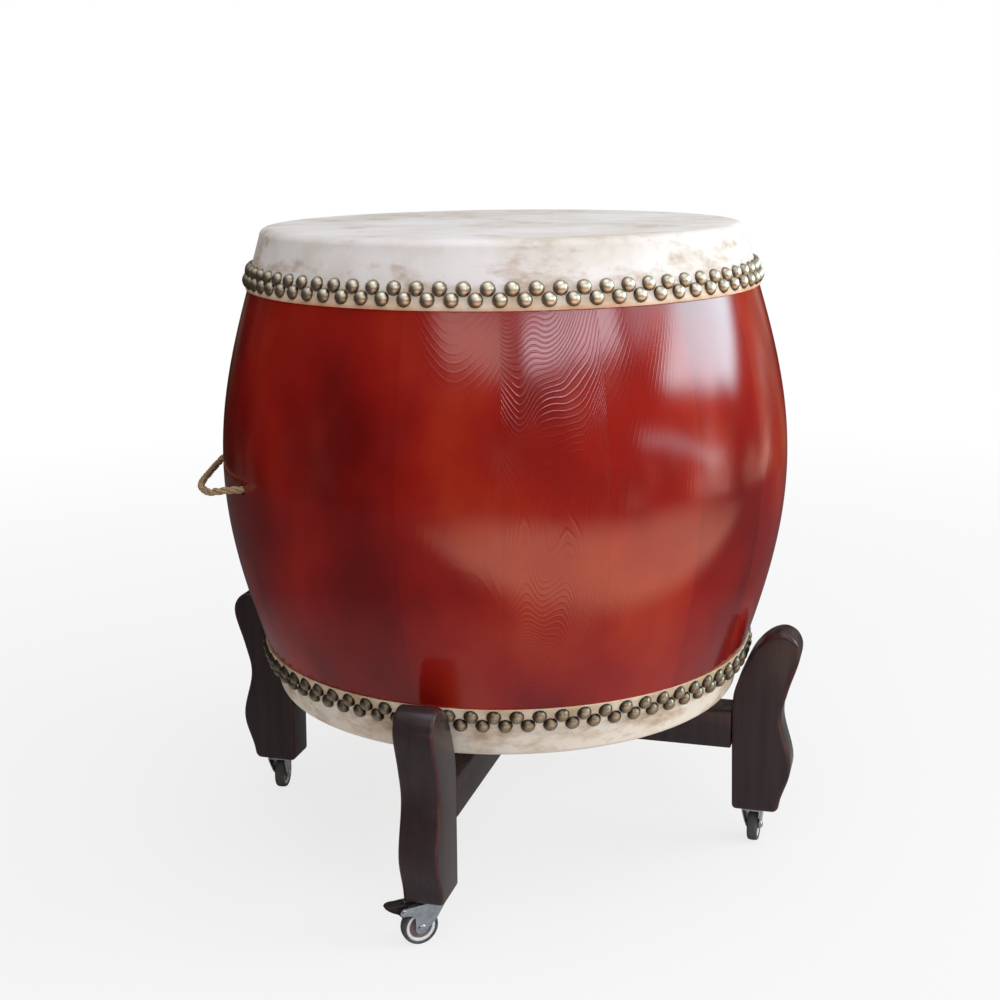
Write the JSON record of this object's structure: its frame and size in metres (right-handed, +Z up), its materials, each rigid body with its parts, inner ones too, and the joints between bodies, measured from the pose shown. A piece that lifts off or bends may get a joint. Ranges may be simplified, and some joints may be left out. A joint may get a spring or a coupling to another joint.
{
  "type": "war drum",
  "caption": "Barrel war drum with tacked rawhide heads and a rope handle, cradled upright in a legged wooden stand on swivel casters.",
  "frame": {"origin": "on the floor, under the drum's axis, at the centre of the four casters", "axes": "+Z up along the drum's axis; +X to the right-hand leg and +Y to the back leg, each leg of the stand on one of the four half axes"},
  "size_m": [0.6574, 0.6574, 0.6835],
  "materials": {
    "red_lacquer": "gloss lacquer",
    "rawhide": "stretched rawhide, brass tacks",
    "jute": "twisted fibre",
    "dark_lacquer": "semi-gloss lacquer",
    "zinc_plate": "bright zinc plate",
    "white_plastic": "moulded",
    "grey_rubber": "matt",
    "black_plastic": "moulded"
  },
  "bodies": {
    "stand": {"right_leg": "dark_lacquer", "front_leg": "dark_lacquer", "left_leg": "dark_lacquer", "back_leg": "dark_lacquer", "side_beam": "dark_lacquer", "middle_beam": "dark_lacquer", "right_caster_stem": "zinc_plate", "front_caster_stem": "zinc_plate", "left_caster_stem": "zinc_plate", "back_caster_stem": "zinc_plate"},
    "drum": {"stave_01": "red_lacquer", "stave_02": "red_lacquer", "stave_03": "red_lacquer", "stave_04": "red_lacquer", "stave_05": "red_lacquer", "stave_06": "red_lacquer", "stave_07": "red_lacquer", "stave_08": "red_lacquer", "stave_09": "red_lacquer", "stave_10": "red_lacquer", "stave_11": "red_lacquer", "stave_12": "red_lacquer", "stave_13": "red_lacquer", "stave_14": "red_lacquer", "stave_15": "red_lacquer", "stave_16": "red_lacquer", "stave_17": "red_lacquer", "stave_18": "red_lacquer", "stave_19": "red_lacquer", "upper_head": "rawhide", "lower_head": "rawhide", "handle_rope": "jute", "front_rope_knot": "jute", "rear_rope_knot": "jute"},
    "right_swivel": {"right_caster_fork": "zinc_plate", "right_caster_axle": "zinc_plate"},
    "right_wheel": {"right_caster_wheel": "white_plastic", "right_caster_tyre": "grey_rubber"},
    "front_swivel": {"front_caster_fork": "zinc_plate", "front_caster_axle": "zinc_plate", "front_brake_pin": "zinc_plate"},
    "front_wheel": {"front_caster_wheel": "white_plastic", "front_caster_tyre": "grey_rubber"},
    "front_brake": {"front_brake_lever": "black_plastic"},
    "left_swivel": {"left_caster_fork": "zinc_plate", "left_caster_axle": "zinc_plate"},
    "left_wheel": {"left_caster_wheel": "white_plastic", "left_caster_tyre": "grey_rubber"},
    "back_swivel": {"back_caster_fork": "zinc_plate", "back_caster_axle": "zinc_plate", "back_brake_pin": "zinc_plate"},
    "back_wheel": {"back_caster_wheel": "white_plastic", "back_caster_tyre": "grey_rubber"},
    "back_brake": {"back_brake_lever": "black_plastic"}
  },
  "joints": [
    {"name": "drum_lift", "type": "slide", "parent": "stand", "child": "drum", "axis": [0, 0, 1], "range_m": [0, 0.25]},
    {"name": "right_swivel_turn", "type": "hinge", "parent": "stand", "child": "right_swivel", "pos_m": [0.2815, 0, 0], "axis": [0, 0, 1], "continuous": true},
    {"name": "right_wheel_spin", "type": "hinge", "parent": "right_swivel", "child": "right_wheel", "pos_m": [0.28195, 0.01299, 0.0188], "axis": [-0.9994, 0.0349, 0], "continuous": true},
    {"name": "front_swivel_turn", "type": "hinge", "parent": "stand", "child": "front_swivel", "pos_m": [0, -0.2865, 0], "axis": [0, 0, 1], "continuous": true},
    {"name": "front_wheel_spin", "type": "hinge", "parent": "front_swivel", "child": "front_wheel", "pos_m": [-0.00981, -0.29503, 0.0188], "axis": [0.6561, -0.7547, 0], "continuous": true},
    {"name": "front_brake_press", "type": "hinge", "parent": "front_swivel", "child": "front_brake", "pos_m": [-0.02377, -0.30717, 0.0408], "axis": [0.6561, -0.7547, 0], "range_deg": [0, 20]},
    {"name": "left_swivel_turn", "type": "hinge", "parent": "stand", "child": "left_swivel", "pos_m": [-0.289, 0, 0], "axis": [0, 0, 1], "continuous": true},
    {"name": "left_wheel_spin", "type": "hinge", "parent": "left_swivel", "child": "left_wheel", "pos_m": [-0.29081, 0.01287, 0.0188], "axis": [-0.9903, -0.1392, 0], "continuous": true},
    {"name": "back_swivel_turn", "type": "hinge", "parent": "stand", "child": "back_swivel", "pos_m": [0, 0.2865, 0], "axis": [0, 0, 1], "continuous": true},
    {"name": "back_wheel_spin", "type": "hinge", "parent": "back_swivel", "child": "back_wheel", "pos_m": [0.00981, 0.29503, 0.0188], "axis": [-0.6561, 0.7547, 0], "continuous": true},
    {"name": "back_brake_press", "type": "hinge", "parent": "back_swivel", "child": "back_brake", "pos_m": [0.02377, 0.30717, 0.0408], "axis": [-0.6561, 0.7547, 0], "range_deg": [0, 20]}
  ]
}
